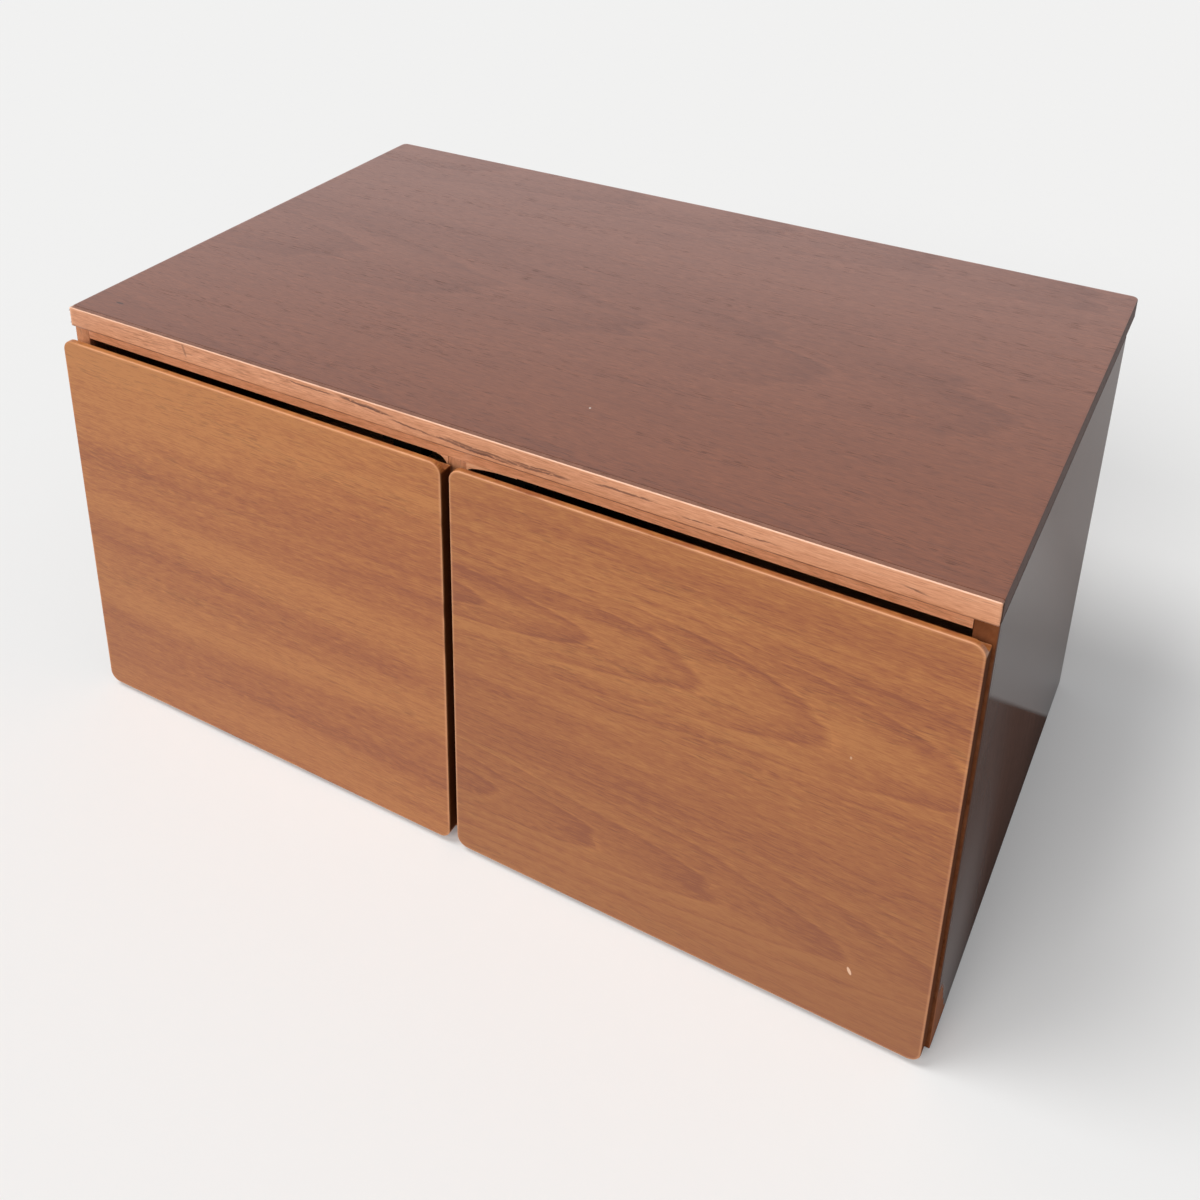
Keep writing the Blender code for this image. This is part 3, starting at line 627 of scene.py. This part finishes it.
def pin_heads(name, places, radius, proud):
    """Domed nail heads on the back: a head is (r cos a, proud * (1 - r * r / radius ** 2), r sin a)
    round its place, for r from 0 to radius, and its rim is turned in to close it."""
    r = np.array([1.0, 1.0, 0.92, 0.7, 0.4, 0.08]) * radius
    lift = proud * (1 - (r / radius) ** 2)
    lift[0] = -0.0002
    a = np.linspace(0, 2 * math.pi, HEAD_SIDES, endpoint=False)
    surface = (r[:, None] * np.cos(a), lift[:, None], r[:, None] * np.sin(a))
    dome = np.stack(np.broadcast_arrays(*surface), axis=-1).reshape(-1, 3)
    i, j = np.mgrid[: len(r) - 1, :HEAD_SIDES]
    here, after = i * HEAD_SIDES + j, i * HEAD_SIDES + (j + 1) % HEAD_SIDES
    corners = [here, here + HEAD_SIDES, after + HEAD_SIDES, after]
    rim = np.arange(HEAD_SIDES)
    faces = np.stack(corners, axis=-1).reshape(-1, 4).tolist()
    faces += [rim.tolist(), (len(dome) - 1 - rim).tolist()]
    points = (np.asarray(places)[:, None] + dome).reshape(-1, 3)
    starts = range(0, len(points), len(dome))
    polygons = [[v + start for v in face] for start in starts for face in faces]
    mesh = bpy.data.meshes.new(name)
    mesh.from_pydata(points.tolist(), [], polygons)
    bm = bmesh.new()
    bm.from_mesh(mesh)
    bmesh.ops.recalc_face_normals(bm, faces=bm.faces)
    bm.to_mesh(mesh)
    bm.free()
    mesh.shade_smooth()
    piece = bpy.data.objects.new(name, mesh)
    bpy.context.scene.collection.objects.link(piece)
    return piece


def metal(name, color, rough, seed):
    """Plated steel: bright, with faint long scratches and cloudy patches."""
    finish = Finish(name, Metallic=1.0)
    cloud = finish.noise(finish.x * 90.0, finish.y * 90.0, finish.z * 90.0 + seed, detail=3.0)
    scratch = finish.noise(finish.x * 2500.0, finish.y * 300.0, finish.z * 300.0 + seed, detail=2.0)
    color = finish.mix(cloud * 0.5, color, [c * 0.72 for c in color])
    dull = rough + (cloud - 0.5) * 0.22 + (scratch - 0.5) * 0.1
    return finish.finished(color, dull, scratch, 0.00003, 0.3)


back_low, back_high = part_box("back_panel")
columns, levels = (back_low.x + 0.0035, back_high.x - 0.0035), (back_low.z + 0.006, 0.377)
rows = [(x, z) for x in columns for z in np.linspace(0.03, 0.35, 6)]
rows += [(x, z) for z in levels for x in np.linspace(-0.34, 0.34, 9)]
heads = pin_heads("back_panel_pins", [(x, back_high.y, z) for x, z in rows], 0.0016, 0.0005)
install(heads, "carcass", metal("dull_pin_steel", (0.32, 0.29, 0.26), 0.42, 6.0), "plated_steel")


# ---- The doors -------------------------------------------------------------------------------
# Two 15 mm boards, veneered lengthways in two matching leaves, with 10 mm corners. Behind the
# top edge a rebate with a coved foot leaves a 5 mm lip for the fingers.

door_tones = [
    (0.245, 0.068, 0.022), (0.308, 0.095, 0.027), (0.360, 0.125, 0.033), (0.415, 0.160, 0.043)
]
# The left door's tones are 6 % lighter, as painted light falling from the left.
left_door_tones_painted_lighter = [[c * 1.06 for c in tone] for tone in door_tones]
DOOR_CORNER = 0.010
DOOR_EASE = 0.0008
GRIP_LIP = 0.005
GRIP_DEPTH = 0.008
GRIP_COVE = 0.004
CUP_WING = 0.006
CUP_FIT = 0.0003
PAST_BACK = 0.010


def door_marks(finish, color, along, across):
    """Bare, dull ends; the right door is darker towards its lower right corner, a painted shade,
    and has one pale chip and one speck on its face."""
    out = finish.x.do("ABSOLUTE")
    end = out.step(0.3971, 0.3975) + out.step(0.0042, 0.0038)
    finish.feed("Coat Weight", 1.0 - end * 0.9)
    face = finish.y.step(-0.2562, -0.2572)
    # Painted shade: the right door darkens towards its lower right corner.
    lower_right_shade = (along - across * 1.3).step(0.02, 0.42)
    color = finish.mix(lower_right_shade * 0.40, color, (0.20, 0.062, 0.022))
    beside = along - 0.3399
    chip = finish.oval(beside, across - 0.0631 + beside * 1.2, 0.0018, 0.0024)
    speck = finish.oval(along - 0.3230, across - 0.2525, 0.0008, 0.0012)
    color = finish.mix(chip.step(1.3, 0.7) * face * 0.9, color, (0.72, 0.46, 0.31))
    return finish.mix(speck.step(1.3, 0.7) * face * 0.6, color, (0.62, 0.40, 0.25))


door_finish = teak(
    "door_teak_veneer", "XZY", door_tones, seed=9.0, leaf=0.188, centre=0.080, start=-0.15,
    taper=0.11, spacing=0.0105, figure=0.30, bands=0.48, pores=0.30, rough=0.40, marks=door_marks,
    shade_ramp=(-0.15, 0.40, 0.42), ends=(0.0038, 0.3975), Specular_IOR_Level=0.0, Coat_Roughness=0.42,
)
left_door_finish = teak(
    "door_teak_veneer_left", "XZY", left_door_tones_painted_lighter, seed=12.0, leaf=0.6, centre=0.46, start=-2.5,
    taper=0.05, spacing=0.0105, figure=0.20, bands=0.46, pores=0.28, rough=0.40, marks=door_marks,
    shade_ramp=(-0.15, 0.40, 0.24), ends=(-0.3975, -0.0038), Specular_IOR_Level=0.0, Coat_Roughness=0.42,
)


def door_leaf(name, low, high):
    """A door's outlines, from its face to its back. Behind the finger lip each is cut off at a
    level: for a from 0 to 90 degrees the cove is y = back of the lip + cove * (1 - cos a) and
    z = floor + cove * (1 - sin a), and behind it the rebate's floor is level."""
    face = eased(low.y, high.y, DOOR_EASE, margin=0.0015)
    half = len(face) // 2
    a = np.linspace(0, math.pi / 2, 6)[1:]
    lip_back, grip_floor, uncut = low.y + GRIP_LIP, high.z - GRIP_DEPTH, high.z + 1
    step = [(lip_back, 0, 0), (lip_back + 0.00001, 0, 0)]
    cove = np.stack([lip_back + GRIP_COVE * (1 - np.cos(a)), 0 * a, 0 * a], axis=1)
    limits = np.concatenate([
        np.full(half + 1, uncut), [grip_floor + GRIP_COVE],
        grip_floor + GRIP_COVE * (1 - np.sin(a)),
        grip_floor - face[half:, 1],
    ])
    table = np.concatenate([face[:half], step, cove, face[half:]])
    return stack(name, 1, low, high, (DOOR_CORNER,) * 4, table, limits)


def mortised(leaf, holes):
    """Cuts square mortises, given by their low and high corners, into the back of a door."""
    bm = bmesh.new()
    for low, high in holes:
        place = Matrix.Translation((low + high) / 2) @ Matrix.Diagonal((*(high - low), 1.0))
        bmesh.ops.create_cube(bm, size=1.0, matrix=place)
    mesh = bpy.data.meshes.new("mortise_chisel")
    bm.to_mesh(mesh)
    bm.free()
    chisel = bpy.data.objects.new("mortise_chisel", mesh)
    bpy.context.scene.collection.objects.link(chisel)
    chop = leaf.modifiers.new("mortises", "BOOLEAN")
    chop.operation, chop.object = "DIFFERENCE", chisel
    cut = leaf.evaluated_get(bpy.context.evaluated_depsgraph_get())
    leaf.data = bpy.data.meshes.new_from_object(cut)
    leaf.modifiers.clear()
    leaf.data.set_sharp_from_angle(angle=SHARP_ANGLE)
    bpy.data.objects.remove(chisel)


for side, finish in (("left", left_door_finish), ("right", door_finish)):
    leaf = door_leaf(side + "_door_leaf", *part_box(side + "_door"))
    cups = [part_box(f"{side}_{level}_hinge_cup") for level in ("upper", "lower")]
    before = Vector((CUP_FIT, CUP_FIT, CUP_FIT - CUP_WING))
    after = before + Vector((0, PAST_BACK, 0))
    mortised(leaf, [(low - before, high + after) for low, high in cups])
    install(leaf, side + "_leaf", finish, "teak_veneer", side + "_door")


# ---- The fittings ----------------------------------------------------------------------------
# Steel cups, arms, pins, shelf pins and screws, bronzed strike plates, black magnetic catches, and
# moulded brown hinge plates, buffers and glides, all bought in and screwed or pressed in place.


def plastic(name, color, rough, seed, **constants):
    """Moulded plastic: a fine even grain, and colour a little uneven."""
    finish = Finish(name, **constants)
    grain = finish.noise(finish.x * 1800.0, finish.y * 1800.0, finish.z * 1800.0 + seed, detail=2.0)
    cloud = finish.noise(finish.x * 60.0, finish.y * 60.0, finish.z * 60.0 + seed, detail=2.0)
    color = finish.mix(cloud * 0.6, color, [c * 1.5 for c in color])
    return finish.finished(color, rough + (grain - 0.5) * 0.2, grain, 0.00004, 0.35)


steel = metal("plated_steel", (0.60, 0.60, 0.61), 0.28, 0.0)
brown = plastic("brown_plastic", (0.055, 0.030, 0.020), 0.45, 0.0)
bronze = metal("bronzed_steel", (0.040, 0.028, 0.022), 0.5, 3.0)
black = plastic("black_plastic", (0.003, 0.0025, 0.002), 0.9, 5.0, Specular_IOR_Level=0.0)
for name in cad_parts:
    part = name.split("_")[-1]
    if "_strike_" in name:
        dress([name], bronze)
    elif "_shelf_pin_" in name or part in ("cup", "pin", "arm", "screw"):
        dress([name], steel)
    elif part == "catch":
        dress([name], black)
    elif part in ("glide", "buffer", "plate"):
        dress([name], brown)


# ---- The floor -------------------------------------------------------------------------------
# Smooth pale paper. What the camera sees of it has a little even light of its own, which keeps its
# far part as pale as the photograph's, and the cabinet's shadow stays on it.

floor_finish = Finish("floor_paper", Roughness=1.0, Specular_IOR_Level=0.0)
tooth = floor_finish.noise(floor_finish.x * 40.0, floor_finish.y * 40.0, 0.0, detail=2.0)
floor.data.materials.append(
    floor_finish.finished(floor_finish.mix(tooth, (0.838, 0.842, 0.848), (0.846, 0.850, 0.856)))
)
evened = floor_finish.tree.nodes.new("ShaderNodeMixShader")
glow = floor_finish.tree.nodes.new("ShaderNodeEmission")
glow.inputs["Color"].default_value = (0.863, 0.863, 0.863, 1.0)
camera_ray = floor_finish.node("ShaderNodeLightPath") * 0.20
for start, end in (
    (camera_ray.socket, evened.inputs[0]),
    (floor_finish.shader.outputs[0], evened.inputs[1]),
    (glow.outputs[0], evened.inputs[2]),
    (evened.outputs[0], floor_finish.tree.nodes["Material Output"].inputs["Surface"]),
):
    floor_finish.tree.links.new(start, end)
